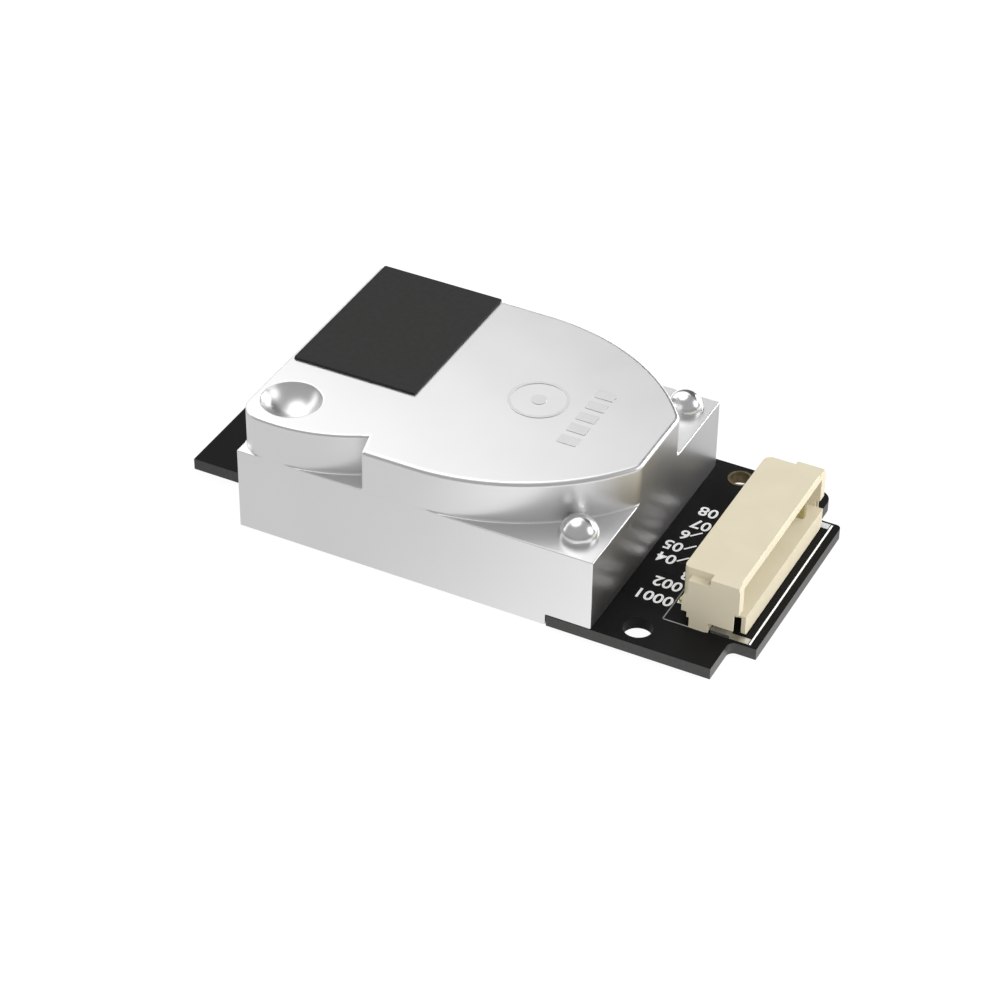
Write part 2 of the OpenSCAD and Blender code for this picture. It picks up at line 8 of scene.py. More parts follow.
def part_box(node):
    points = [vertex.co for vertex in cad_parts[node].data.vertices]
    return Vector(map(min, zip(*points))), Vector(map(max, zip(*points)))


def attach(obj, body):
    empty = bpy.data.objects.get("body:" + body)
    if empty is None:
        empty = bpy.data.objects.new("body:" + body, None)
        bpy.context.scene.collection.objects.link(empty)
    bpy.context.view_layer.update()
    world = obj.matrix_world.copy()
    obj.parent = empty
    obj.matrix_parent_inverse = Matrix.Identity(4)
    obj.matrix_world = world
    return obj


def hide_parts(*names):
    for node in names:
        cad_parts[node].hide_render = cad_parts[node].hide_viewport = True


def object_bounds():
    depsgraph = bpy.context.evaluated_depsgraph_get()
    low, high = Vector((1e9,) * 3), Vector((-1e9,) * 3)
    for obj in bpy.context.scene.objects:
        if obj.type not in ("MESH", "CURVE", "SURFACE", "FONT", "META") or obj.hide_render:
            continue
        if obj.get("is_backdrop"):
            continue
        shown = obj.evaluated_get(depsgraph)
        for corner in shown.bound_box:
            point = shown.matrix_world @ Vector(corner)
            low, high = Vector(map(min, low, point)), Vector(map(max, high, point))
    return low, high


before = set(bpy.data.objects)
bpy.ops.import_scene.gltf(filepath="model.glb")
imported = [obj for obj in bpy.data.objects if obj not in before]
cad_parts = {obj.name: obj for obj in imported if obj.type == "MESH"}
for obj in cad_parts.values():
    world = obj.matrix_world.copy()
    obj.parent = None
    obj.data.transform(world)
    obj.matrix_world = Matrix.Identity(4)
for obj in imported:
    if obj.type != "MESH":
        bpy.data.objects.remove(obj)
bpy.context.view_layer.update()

# Shapes are built in millimetres from the shell's near left corner, on the board's underside, and
# then placed in metres.
MM = 0.001
BODY = "root"
COVER_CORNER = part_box("cavity_cover")[0]
CORNER = Vector((COVER_CORNER.x, COVER_CORNER.y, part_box("board")[0].z))
PLACE = Matrix.Translation(CORNER) @ Matrix.Scale(MM, 4)


def in_mm(node):
    """A CAD node's box in millimetres, measured from the shell's corner."""
    low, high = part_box(node)
    return (low - CORNER) / MM, (high - CORNER) / MM


BOARD_LOW, BOARD_HIGH = in_mm("board")
COVER_HIGH = in_mm("cavity_cover")[1]
RIVET_LOW, RIVET_HIGH = in_mm("cover_rivets")
SHEET_LOW, SHEET_HIGH = in_mm("membrane")
HEADER_LOW, HEADER_HIGH = in_mm("header_housing")
PAD_LOW, PAD_HIGH = in_mm("anchor_pads")
CONTACT_LOW = in_mm("header_contacts")[0]
RING_LOW, RING_HIGH = in_mm("hole_rings")
TOP_Z = in_mm("membrane_adhesive")[0].z

# Shell
SHELL_L = COVER_HIGH.x
SHELL_W = COVER_HIGH.y
WALL = 1.2
SKIRT_L = 32.4
STEP_X = 13.2
STEP_IN_X = 12.75           # where the step's face meets the lamp end
STEP_ROUND = 0.5
BOW_X = 18.5
BOW_R = 22.35
LAMP_END_R = 17.0
LAMP_END_X = 3.9
LAMP_CORNER_R = 2.6
WIDE_CORNER_R = 1.6
FAR_CORNER_R = 0.4
LAMP_RIM = 0.3              # rounding of the lamp end's top edge
WIDE_RIM = 0.45
FOOT_ROUND = 0.2
DIMPLE_AT = (3.66, 4.31)
DIMPLE_R = 2.9
DIMPLE_SPHERE_R = 3.2

# Rivets: head radii, near one first
DOME_RADII = (1.95, 1.8)
FLANGE_Z = RIVET_HIGH.z - DOME_RADII[0]
SHANK_R = 0.9

# Board
BOARD_T = BOARD_HIGH.z
BOARD_L = 48.9
TAB_Y = 5.7
TONGUE_Y = 4.4
HOLE_AT = (-CORNER.x / MM, -CORNER.y / MM)
HOLE_R = 1.41
RING_AT = ((RING_LOW.x + RING_HIGH.x) / 2, (RING_LOW.y + RING_HIGH.y) / 2)
RING_HOLE_R = 1.05
INK_T = 0.015


# Mesh helpers

def object_from(name, bm):
    """Links a new object that holds the bmesh."""
    mesh = bpy.data.meshes.new(name)
    bmesh.ops.recalc_face_normals(bm, faces=bm.faces)
    bm.to_mesh(mesh)
    bm.free()
    obj = bpy.data.objects.new(name, mesh)
    bpy.context.scene.collection.objects.link(obj)
    return obj


def bake(obj):
    """Applies an object's modifiers to its mesh."""
    bpy.context.view_layer.update()
    graph = bpy.context.evaluated_depsgraph_get()
    mesh = bpy.data.meshes.new_from_object(obj.evaluated_get(graph))
    obj.modifiers.clear()
    obj.data = mesh
    return obj


def boolean(obj, tool, operation):
    """Joins, cuts or intersects obj with a tool object, which is used up."""
    modifier = obj.modifiers.new("boolean", "BOOLEAN")
    modifier.operation = operation
    modifier.solver = "EXACT"
    modifier.object = tool
    bake(obj)
    bpy.data.objects.remove(tool)
    return obj


def add(obj, tool):
    """Joins a tool object to obj."""
    return boolean(obj, tool, "UNION")


def cut(obj, tool):
    """Cuts a tool object out of obj."""
    return boolean(obj, tool, "DIFFERENCE")


def bevel(obj, width, segments=3, angle=40):
    """Rounds every edge that is sharper than an angle in degrees."""
    modifier = obj.modifiers.new("bevel", "BEVEL")
    modifier.width = width
    modifier.segments = segments
    modifier.limit_method = "ANGLE"
    modifier.angle_limit = math.radians(angle)
    modifier.use_clamp_overlap = True
    return bake(obj)


def smooth(obj, sharp_angle=38):
    """Smooth shading with flat faces kept flat."""
    for polygon in obj.data.polygons:
        polygon.use_smooth = True
    obj.data.set_sharp_from_angle(angle=math.radians(sharp_angle))
    modifier = obj.modifiers.new("normals", "WEIGHTED_NORMAL")
    modifier.keep_sharp = True
    modifier.weight = 80
    return bake(obj)


def skin(name, loops):
    """A closed solid from loops of equally many points, with its two ends capped."""
    bm = bmesh.new()
    rings = [[bm.verts.new(point) for point in loop] for loop in loops]
    count = len(rings[0])
    for lower, upper in zip(rings, rings[1:]):
        for i in range(count):
            j = (i + 1) % count
            bm.faces.new((lower[i], lower[j], upper[j], upper[i]))
    bm.faces.new(rings[0][::-1])
    bm.faces.new(rings[-1])
    return object_from(name, bm)


def prism(name, outline, start, end, axis="z"):
    """A flat outline extruded along an axis: (x, y) along z, (x, z) along y or (y, z) along x."""
    orders = {
        "z": lambda a, b, c: (a, b, c),
        "y": lambda a, b, c: (a, c, b),
        "x": lambda a, b, c: (c, a, b),
    }
    place = orders[axis]
    return skin(name, [[place(a, b, c) for a, b in outline] for c in (start, end)])


def block(name, low, high):
    """A box between two corners."""
    corners = [(low[0], low[1]), (high[0], low[1]), (high[0], high[1]), (low[0], high[1])]
    return prism(name, corners, low[2], high[2])


def arc(centre, radius, start, end, steps):
    """Points along an arc, with angles in degrees."""
    points = []
    for i in range(steps + 1):
        angle = math.radians(start + (end - start) * i / steps)
        points.append((centre[0] + radius * math.cos(angle), centre[1] + radius * math.sin(angle)))
    return points


def rounded_box(low, high, radius, steps=5):
    """Outline of a rectangle with rounded corners."""
    x0, y0, x1, y1 = low[0] + radius, low[1] + radius, high[0] - radius, high[1] - radius
    return (arc((x0, y0), radius, 180, 270, steps) + arc((x1, y0), radius, 270, 360, steps)
            + arc((x1, y1), radius, 0, 90, steps) + arc((x0, y1), radius, 90, 180, steps))


def cylinder(name, at, radius, z0, z1, steps=64):
    """An upright cylinder."""
    return prism(name, arc(at, radius, 0, 360, steps)[:-1], z0, z1)


def lathe(name, profile, at=(0, 0), steps=96):
    """A solid of revolution about an upright axis.

    The (radius, z) points run from axis to axis, or all round."""
    bm = bmesh.new()
    verts = [bm.verts.new((at[0] + r, at[1], z)) for r, z in profile]
    edges = [bm.edges.new(pair) for pair in zip(verts, verts[1:])]
    bmesh.ops.spin(bm, geom=verts + edges, cent=(at[0], at[1], 0), axis=(0, 0, 1),
                   angle=math.tau, steps=steps, use_merge=True)
    bmesh.ops.remove_doubles(bm, verts=bm.verts, dist=1e-5)
    return object_from(name, bm)


def joined(objects):
    """Puts the meshes of several objects into the first one."""
    first = objects[0]
    bm = bmesh.new()
    for obj in objects:
        bm.from_mesh(obj.data)
    bm.to_mesh(first.data)
    bm.free()
    for obj in objects[1:]:
        bpy.data.objects.remove(obj)
    return first


def mitres(outline):
    """For each point of a counter-clockwise outline, the step that moves both its edges outwards by one."""
    steps = []
    count = len(outline)
    for i in range(count):
        before, here, after = Vector(outline[i - 1]), Vector(outline[i]), Vector(outline[(i + 1) % count])
        first, second = (here - before).normalized(), (after - here).normalized()
        n1, n2 = Vector((first.y, -first.x)), Vector((second.y, -second.x))
        steps.append((n1 + n2) / (1 + n1.dot(n2)))
    return steps


def finish_piece(obj, material, replaced=()):
    """Places a finished piece in the frame, with its material and body, and hides the CAD parts it replaces.
    """
    obj.data.transform(PLACE)
    if not isinstance(material, list):
        obj.data.materials.clear()
        obj.data.materials.append(material)
    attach(obj, BODY)
    if replaced:
        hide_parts(*replaced)


# Materials

class Nodes:
    """Short names for building a node tree."""

    def __init__(self, tree):
        self.tree = tree

    def feed(self, socket, value):
        """Sets or links one input."""
        if isinstance(value, bpy.types.NodeSocket):
            self.tree.links.new(value, socket)
        else:
            socket.default_value = value

    def math(self, operation, *values):
        """A maths node's result."""
        node = self.tree.nodes.new("ShaderNodeMath")
        node.operation = operation
        for socket, value in zip(node.inputs, values):
            self.feed(socket, value)
        return node.outputs[0]

    def dot(self, vector, axis):
        """How far a vector reaches along an axis."""
        node = self.tree.nodes.new("ShaderNodeVectorMath")
        node.operation = "DOT_PRODUCT"
        self.feed(node.inputs[0], vector)
        node.inputs[1].default_value = tuple(axis)
        return node.outputs["Value"]

    def distance(self, vector, point):
        """How far a place is from a point."""
        node = self.tree.nodes.new("ShaderNodeVectorMath")
        node.operation = "DISTANCE"
        self.feed(node.inputs[0], vector)
        node.inputs[1].default_value = point
        return node.outputs["Value"]

    def soft_step(self, value, start, end, low=0.0, high=1.0):
        """A smooth change from low to high as value goes from start to end."""
        node = self.tree.nodes.new("ShaderNodeMapRange")
        node.interpolation_type = "SMOOTHSTEP"
        self.feed(node.inputs["Value"], value)
        node.inputs["From Min"].default_value = start
        node.inputs["From Max"].default_value = end
        node.inputs["To Min"].default_value = low
        node.inputs["To Max"].default_value = high
        return node.outputs["Result"]

    def blend(self, factor, first, second):
        """A number between two numbers."""
        node = self.tree.nodes.new("ShaderNodeMix")
        for socket, value in zip((node.inputs["Factor"], node.inputs["A"], node.inputs["B"]),
                                 (factor, first, second)):
            self.feed(socket, value)
        return node.outputs["Result"]

    def noise(self, scale):
        """Noise in object space, with its scale in cells per millimetre."""
        detail = 3.0
        place = self.tree.nodes.new("ShaderNodeTexCoord").outputs["Object"]
        mapping = self.tree.nodes.new("ShaderNodeMapping")
        mapping.inputs["Scale"].default_value = (1 / MM, 1 / MM, 1 / MM)
        self.feed(mapping.inputs["Vector"], place)
        noise = self.tree.nodes.new("ShaderNodeTexNoise")
        noise.inputs["Scale"].default_value = scale
        noise.inputs["Detail"].default_value = detail
        self.feed(noise.inputs["Vector"], mapping.outputs["Vector"])
        return noise.outputs["Fac"]


def detailed(name, dark, light, roughness, metallic=0.0, specular=0.5, scale=1.0, grain=8.0, relief=0.2,
             coat=0.0, coat_roughness=0.05, glow=0.0):
    """A material whose colour drifts between two colours, with drifting roughness and a fine grain.

    The glow is a little emission of the same colour. It is painted light that lifts a pale piece to its
    wanted tone where the lamps leave it darker."""
    bump_height = 0.01
    drift_from, drift_to = 0.3, 0.7
    material = bpy.data.materials.new(name)
    material.use_nodes = True
    nodes = Nodes(material.node_tree)
    shader = material.node_tree.nodes["Principled BSDF"]
    drift = nodes.soft_step(nodes.noise(scale), drift_from, drift_to)
    color = material.node_tree.nodes.new("ShaderNodeMix")
    color.data_type = "RGBA"
    nodes.feed(color.inputs["Factor"], drift)
    color.inputs["A"].default_value = (*dark, 1)
    color.inputs["B"].default_value = (*light, 1)
    nodes.feed(shader.inputs["Base Color"], color.outputs["Result"])
    # Painted light: the piece glows in its own colour to lift its tone
    nodes.feed(shader.inputs["Emission Color"], color.outputs["Result"])
    shader.inputs["Emission Strength"].default_value = glow
    nodes.feed(shader.inputs["Roughness"], nodes.soft_step(nodes.noise(2 * scale), 0, 1, *roughness))
    bump = material.node_tree.nodes.new("ShaderNodeBump")
    bump.inputs["Strength"].default_value = relief
    bump.inputs["Distance"].default_value = bump_height * MM
    nodes.feed(bump.inputs["Height"], nodes.noise(grain))
    nodes.feed(shader.inputs["Normal"], bump.outputs["Normal"])
    shader.inputs["Metallic"].default_value = metallic
    shader.inputs["Specular IOR Level"].default_value = specular
    shader.inputs["Coat Weight"].default_value = coat
    shader.inputs["Coat Roughness"].default_value = coat_roughness
    return material


plated = detailed("plated_shell", (0.780, 0.780, 0.784), (0.800, 0.800, 0.804), (0.33, 0.37), metallic=1.0,
                  scale=0.1, grain=6.0, relief=0.02, coat=0.25, coat_roughness=0.12)
etched = detailed("etched_mark", (0.68, 0.68, 0.685), (0.71, 0.71, 0.715), (0.46, 0.52), metallic=1.0,
                  scale=0.6, grain=10.0, relief=0.1)
polished = detailed("polished_rivet", (0.74, 0.74, 0.745), (0.80, 0.80, 0.805), (0.20, 0.24), metallic=1.0,
                    scale=0.5, grain=4.0, relief=0.02)
sheet_black = detailed("filter_sheet", (0.034, 0.034, 0.033), (0.038, 0.038, 0.037), (0.75, 0.85),
                       specular=0.12, scale=2.0, grain=14.0, relief=0.12)
solder_mask = detailed("solder_mask", (0.0085, 0.0085, 0.0085), (0.0100, 0.0100, 0.0097), (0.42, 0.5),
                       specular=0.06, scale=0.4, grain=5.0, relief=0.05)
board_edge = detailed("board_edge", (0.040, 0.040, 0.038), (0.054, 0.053, 0.051), (0.30, 0.38), specular=0.4,
                      scale=3.0, grain=12.0, relief=0.2)
# The ink's glow is painted light that brightens the printed numbers and line
print_ink = detailed("print_ink", (0.92, 0.92, 0.92), (0.96, 0.96, 0.96), (0.5, 0.6), specular=0.2,
                     scale=3.0, grain=14.0, relief=0.2, glow=0.25)
print_faint = detailed("print_faint", (0.34, 0.34, 0.34), (0.44, 0.44, 0.43), (0.5, 0.6), specular=0.2,
                       scale=3.0, grain=14.0, relief=0.2)
# The cream's glow is painted light that brightens the header's shaded sides and mouth interior
cream = detailed("cream_nylon", (0.630, 0.572, 0.430), (0.655, 0.595, 0.450), (0.45, 0.55), specular=0.3,
                 scale=0.3, grain=7.0, relief=0.06, glow=0.13)
tinned = detailed("tinned", (0.74, 0.74, 0.745), (0.88, 0.88, 0.88), (0.32, 0.46), metallic=1.0,
                  scale=1.6, grain=6.0, relief=0.25)
contact_metal = detailed("contact_metal", (0.50, 0.47, 0.26), (0.60, 0.57, 0.34), (0.25, 0.35), metallic=1.0,
                         scale=2.0, grain=8.0, relief=0.1)
gold = detailed("gold_plating", (0.62, 0.42, 0.15), (0.80, 0.58, 0.26), (0.2, 0.32), metallic=1.0,
                scale=1.5, grain=8.0, relief=0.15)
dull_ring = detailed("dull_ring", (0.10, 0.075, 0.035), (0.17, 0.13, 0.065), (0.4, 0.5), metallic=0.7,
                     scale=2.0, grain=8.0, relief=0.2)


# Shell

def cavity_outline():
    """Outline of the raised cavity, counter-clockwise from the near left corner."""
    corner_y = LAMP_END_R - math.sqrt((LAMP_END_R - LAMP_CORNER_R) ** 2 - (LAMP_END_X - LAMP_CORNER_R) ** 2)
    meet = math.degrees(math.atan2(corner_y - LAMP_END_R, LAMP_CORNER_R - LAMP_END_X)) % 360
    step = 360 - math.degrees(math.acos((STEP_IN_X - LAMP_END_X) / LAMP_END_R))
    wide_x = SHELL_L - WIDE_CORNER_R
    reach = wide_x - BOW_X
    turn = math.degrees(math.acos(reach / (BOW_R - WIDE_CORNER_R)))
    wide_y = BOW_R - math.sqrt((BOW_R - WIDE_CORNER_R) ** 2 - reach ** 2)
    points = arc((LAMP_CORNER_R, corner_y), LAMP_CORNER_R, 180, meet, 12)
    points += arc((LAMP_END_X, LAMP_END_R), LAMP_END_R, meet, step, 18)[1:]
    points += arc((STEP_X + STEP_ROUND, STEP_ROUND), STEP_ROUND, 190, 270, 6)
    points += arc((BOW_X, BOW_R), BOW_R, 270, 360 - turn, 44)
    points += arc((wide_x, wide_y), WIDE_CORNER_R, 360 - turn, 360, 8)[1:]
    points += arc((wide_x, SHELL_W - wide_y), WIDE_CORNER_R, 0, turn, 8)
    points += arc((BOW_X, SHELL_W - BOW_R), BOW_R, turn, 90, 44)[1:]
    points += arc((FAR_CORNER_R, SHELL_W - FAR_CORNER_R), FAR_CORNER_R, 90, 180, 6)
    return points


def held(x, y):
    """A plan point held inside the flange's sides, and just proud of its right side."""
    inside = 0.012
    proud = 0.002
    return min(max(x, inside), SHELL_L + proud), min(max(y, inside), SHELL_W - inside)


def raised_cavity():
    """The raised cavity as a solid, with a rounded rim and a small fillet at its foot."""
    outline = cavity_outline()
    steps = mitres(outline)
    depth = 0.4
    segments = 6
    foot_z = FLANGE_Z - 0.01

    def rim(x):
        share = min(max((x - STEP_IN_X) / STEP_ROUND, 0), 1)
        return LAMP_RIM + (WIDE_RIM - LAMP_RIM) * share

    def loop(out, height):
        points = []
        for (x, y), step in zip(outline, steps):
            points.append((*held(x + step.x * out(x), y + step.y * out(x)), height(x)))
        return points

    loops = [loop(lambda x: FOOT_ROUND, lambda x, z=z: z) for z in (FLANGE_Z - depth, foot_z)]
    for i in range(1, segments + 1):
        s, c = math.sin(math.pi / 2 * i / segments), math.cos(math.pi / 2 * i / segments)
        loops.append(loop(lambda x, s=s: FOOT_ROUND * (1 - s),
                          lambda x, c=c: FLANGE_Z + FOOT_ROUND * (1 - c)))
    for i in range(segments + 1):
        s, c = math.sin(math.pi / 2 * i / segments), math.cos(math.pi / 2 * i / segments)
        loops.append(loop(lambda x, c=c: -rim(x) * (1 - c), lambda x, s=s: TOP_Z - rim(x) * (1 - s)))
    return skin("raised", loops)


def dimple_cutter():
    """The dimple's sphere, with a small round where it meets the top."""
    rim_round = 0.16
    above = 0.6
    rise = math.sqrt(DIMPLE_SPHERE_R ** 2 - DIMPLE_R ** 2)
    drop = rise + rim_round
    reach = math.sqrt((DIMPLE_SPHERE_R + rim_round) ** 2 - drop ** 2)
    meet = math.degrees(math.atan2(-drop, reach))
    profile = arc((0, TOP_Z + rise), DIMPLE_SPHERE_R, -90, meet, 28)
    profile[0] = (0, profile[0][1])
    profile += arc((reach, TOP_Z - rim_round), rim_round, 180 + meet, 80, 5)[1:]
    profile += [(profile[-1][0] + above, TOP_Z + above), (0, TOP_Z + above)]
    return lathe("dimple", profile, DIMPLE_AT)


def cavity_room():
    """The room inside the shell, with a boss left under the dimple.

    The raised room's underside is left over as a face inside the finished shell, hidden from outside."""
    past = 1.0
    boss_wall = 0.9
    room = block("room", (WALL, WALL, -past), (SHELL_L - WALL, SHELL_W - WALL, FLANGE_Z - WALL))
    outline = cavity_outline()
    inner = [(x - step.x * WALL, y - step.y * WALL) for (x, y), step in zip(outline, mitres(outline))]
    add(room, prism("raised_room", inner, FLANGE_Z - WALL - past, TOP_Z - WALL))
    centre_z = TOP_Z + math.sqrt(DIMPLE_SPHERE_R ** 2 - DIMPLE_R ** 2)
    ball = arc((0, centre_z), DIMPLE_SPHERE_R + boss_wall, -90, 90, 32)
    ball[0], ball[-1] = (0, ball[0][1]), (0, ball[-1][1])
    return cut(room, lathe("boss", ball, DIMPLE_AT, 48))


def rivet_places():
    """Each rivet's plan position and head radius."""
    near_r, far_r = DOME_RADII
    return [((RIVET_LOW.x + near_r, RIVET_LOW.y + near_r), near_r),
            ((RIVET_HIGH.x - far_r, RIVET_HIGH.y - far_r), far_r)]


def cavity_cover():
    """Plated shell: flange, skirt, raised cavity, dimple and rivet holes."""
    past = 1.0
    gap = 0.1
    edge_round = 0.13
    obj = block("plated_cover", (0, 0, 0), (SHELL_L, SHELL_W, FLANGE_Z))
    cut(obj, block("gap", (WALL, WALL, -past), (SHELL_L + past, SHELL_W + past, BOARD_T)))
    cut(obj, block("gap", (SKIRT_L, -past, -past), (SHELL_L + past, WALL + past, BOARD_T)))
    cut(obj, block("gap", (-past, TAB_Y - gap, -past), (WALL + past, BOARD_HIGH.y - TAB_Y + gap, BOARD_T)))
    bevel(obj, edge_round, 3, 60)
    add(obj, raised_cavity())
    cut(obj, cavity_room())
    cut(obj, dimple_cutter())
    for at, radius in rivet_places():
        cut(obj, cylinder("hole", at, SHANK_R + gap / 2, FLANGE_Z - 2 * WALL, FLANGE_Z + past, 32))
    return smooth(obj)


def cover_marks():
    """Plain raised ring, dot and bars on the cover's top."""
    relief = 0.06
    slope = 0.03
    ring_at = (24.1, 15.0)
    ring_in, ring_out, dot_r = 2.6, 3.0, 0.8
    bar_at, bar_size, bar_corner_r = Vector((28.4, 9.8)), Vector((2.0, 1.3)), 0.15
    bar_pitch, bar_count = 2.0, 5
    low, high = TOP_Z - relief, TOP_Z + relief
    ring = lathe("cover_marks", [(ring_in, low), (ring_in + slope, high), (ring_out - slope, high),
                                 (ring_out, low), (ring_in, low)], ring_at)
    dot = lathe("dot", [(0, low), (dot_r, low), (dot_r - slope, high), (0, high)], ring_at, 48)
    marks = [ring, dot]
    for i in range(bar_count):
        start = bar_at + Vector((0, i * bar_pitch))
        bar = prism("bar", rounded_box(start, start + bar_size, bar_corner_r), low, high)
        marks.append(bevel(bar, slope, 2, 50))
    return smooth(joined(marks))


def rivets():
    """Two domed rivets with shanks and clinched tails."""
    tail = -RIVET_LOW.z
    tail_r = 1.5
    tail_edge = [(0.2, 0), (0.05, 0.08), (0, 0.25)]         # steps inwards from the side and up from the end
    made = []
    for at, radius in rivet_places():
        profile = [(0, -tail)] + [(tail_r - inwards, -tail + rise) for inwards, rise in tail_edge]
        profile += [(tail_r, 0), (SHANK_R, 0), (SHANK_R, FLANGE_Z)]
        profile += [(x, FLANGE_Z + z) for x, z in arc((0, 0), radius, 0, 90, 24)]
        profile[-1] = (0, profile[-1][1])
        made.append(lathe("domed_rivets", profile, at))
    return smooth(joined(made))


def filter_sheet():
    """Black porous sheet with slightly rounded corners and edges."""
    corner_r, edge_round = 0.15, 0.03
    obj = prism("filter_sheet", rounded_box(SHEET_LOW, SHEET_HIGH, corner_r), SHEET_LOW.z, SHEET_HIGH.z)
    return smooth(bevel(obj, edge_round, 2, 50))


finish_piece(cavity_cover(), plated, ["cavity_cover"])
finish_piece(cover_marks(), etched)
finish_piece(rivets(), polished, ["cover_rivets"])
finish_piece(filter_sheet(), sheet_black, ["membrane"])


# Board

def board_outline():
    """Outline of the board: wide part with its notches, tongue and left tab."""
    notch_r, wide_r, tongue_r, gap = 0.75, 1.5, 0.5, 0.1
    inner = WALL + gap
    far = BOARD_HIGH.y
    tongue_far = far - TONGUE_Y
    tip = BOARD_HIGH.x
    points = [(BOARD_LOW.x, TAB_Y), (inner, TAB_Y), (inner, inner), (SKIRT_L + gap, inner),
              (SKIRT_L + gap, 0), (BOARD_L, 0)]
    points += arc((BOARD_L + notch_r, TONGUE_Y - notch_r), notch_r, 180, 90, 8)
    points += [(tip, TONGUE_Y)]
    points += arc((tip - tongue_r, tongue_far - tongue_r), tongue_r, 0, 90, 6)
    points += arc((BOARD_L + notch_r, tongue_far + notch_r), notch_r, 270, 180, 8)
    points += arc((BOARD_L - wide_r, far - wide_r), wide_r, 0, 90, 10)
    return points + [(inner, far), (inner, far - TAB_Y), (BOARD_LOW.x, far - TAB_Y)]


def pin_places():
    """Plan position and radius of each lamp lead and detector pin."""
    lead_r, pin_r = 0.2, 0.225
    low, high = in_mm("lamp_leads")
    places = [((x, (low.y + high.y) / 2), lead_r) for x in (low.x + lead_r, high.x - lead_r)]
    low, high = in_mm("detector_pins")
    for x in (low.x + pin_r, high.x - pin_r):
        places += [((x, y), pin_r) for y in (low.y + pin_r, high.y - pin_r)]
    return places


def peg_places():
    """Plan position and radius of the reflector tray's two pegs."""
    peg_r = 0.7
    pegs = [(4.2, 24.2), (21.5, 2.9)]
    return [(at, peg_r) for at in pegs]


def circuit_board():
    """Board with rounded notches and its drilled holes, masked on its faces and bare on its edges, with the
    hole walls given the dark mask as painted shade.
    """
    past = 1.0
    gap = 0.05
    edge_round = 0.04
    face_slope = 0.9            # a normal's height above which a face counts as a masked one
    obj = prism("circuit_board", board_outline(), 0, BOARD_T)
    holes = [(HOLE_AT, HOLE_R), (RING_AT, RING_HOLE_R)]
    holes += [(at, SHANK_R + gap) for at, radius in rivet_places()]
    holes += [(at, radius + gap) for at, radius in pin_places() + peg_places()]
    for at, radius in holes:
        cut(obj, cylinder("drill", at, radius, -past, BOARD_T + past))
    smooth(bevel(obj, edge_round, 2, 50))
    obj.data.materials.clear()
    obj.data.materials.append(solder_mask)
    obj.data.materials.append(board_edge)
    for polygon in obj.data.polygons:
        # Hole walls take the darker mask material: painted shade inside the holes
        drilled = any(math.dist(polygon.center[:2], at) < radius + gap for at, radius in holes)
        polygon.material_index = 0 if drilled or abs(polygon.normal.z) > face_slope else 1
    return obj


def plated_rings():
    """A plated eyelet in the far hole, with a thin ring on each face of the board."""
    pad = RING_HIGH.z - BOARD_T
    lining, edge_round = 0.05, 0.02
    inner, outer = RING_HOLE_R - lining, RING_HIGH.x - RING_AT[0]
    profile = [(inner, -pad), (outer, -pad), (outer, 0), (RING_HOLE_R, 0), (RING_HOLE_R, BOARD_T),
               (outer, BOARD_T), (outer, BOARD_T + pad), (inner, BOARD_T + pad), (inner, -pad)]
    return smooth(bevel(lathe("plated_rings", profile, RING_AT, 64), edge_round, 2, 50))


def stroke(bm, start, end, width):
    """One straight stroke of ink on the board, as a thin raised box."""
    a, b = Vector(start), Vector(end)
    along = (b - a).normalized() * width / 2
    side = Vector((-along.y, along.x))
    corners = [a - along - side, b + along - side, b + along + side, a - along + side]
    low = [bm.verts.new((*corner, BOARD_T)) for corner in corners]
    high = [bm.verts.new((*corner, BOARD_T + INK_T)) for corner in corners]
    bm.faces.new(high)
    bm.faces.new(low[::-1])
    for i in range(4):
        j = (i + 1) % 4
        bm.faces.new((low[i], low[j], high[j], high[i]))


def front_line():
    """Printed line in front of the header, past both anchor pads."""
    width, near_inset, far_inset = 0.17, 0.15, 0.1
    x = PAD_HIGH.x + width
    bm = bmesh.new()
    stroke(bm, (x, PAD_LOW.y + near_inset), (x, PAD_HIGH.y - far_inset), width)
    return object_from("printed_front_line", bm)


def back_outline():
    """Printed outline behind the header and along its ends."""
    width, behind, short, beside = 0.12, 0.3, 0.5, 0.15
    back_x, end_x = CONTACT_LOW.x - behind, PAD_LOW.x - short
    near, far = PAD_LOW.y - beside, PAD_HIGH.y + beside
    bm = bmesh.new()
    stroke(bm, (end_x, near), (back_x, near), width)
    stroke(bm, (back_x, near), (back_x, far), width)
    stroke(bm, (back_x, far), (end_x, far), width)
    return object_from("printed_back_outline", bm)


def number_mesh(text, size, weight):
    """A raised number whose middle right edge is at the origin, read from the far side."""
    curve = bpy.data.curves.new("number", "FONT")
    curve.body = text
    curve.size = size
    curve.align_x = "LEFT"
    curve.align_y = "CENTER"
    curve.extrude = INK_T / 2
    curve.offset = weight
    curve.resolution_u = 4
    holder = bpy.data.objects.new("number", curve)
    bpy.context.scene.collection.objects.link(holder)
    bpy.context.view_layer.update()
    mesh = bpy.data.meshes.new_from_object(holder.evaluated_get(bpy.context.evaluated_depsgraph_get()))
    bpy.data.objects.remove(holder)
    mesh.transform(Matrix.Rotation(math.pi, 4, "Z"))
    return mesh


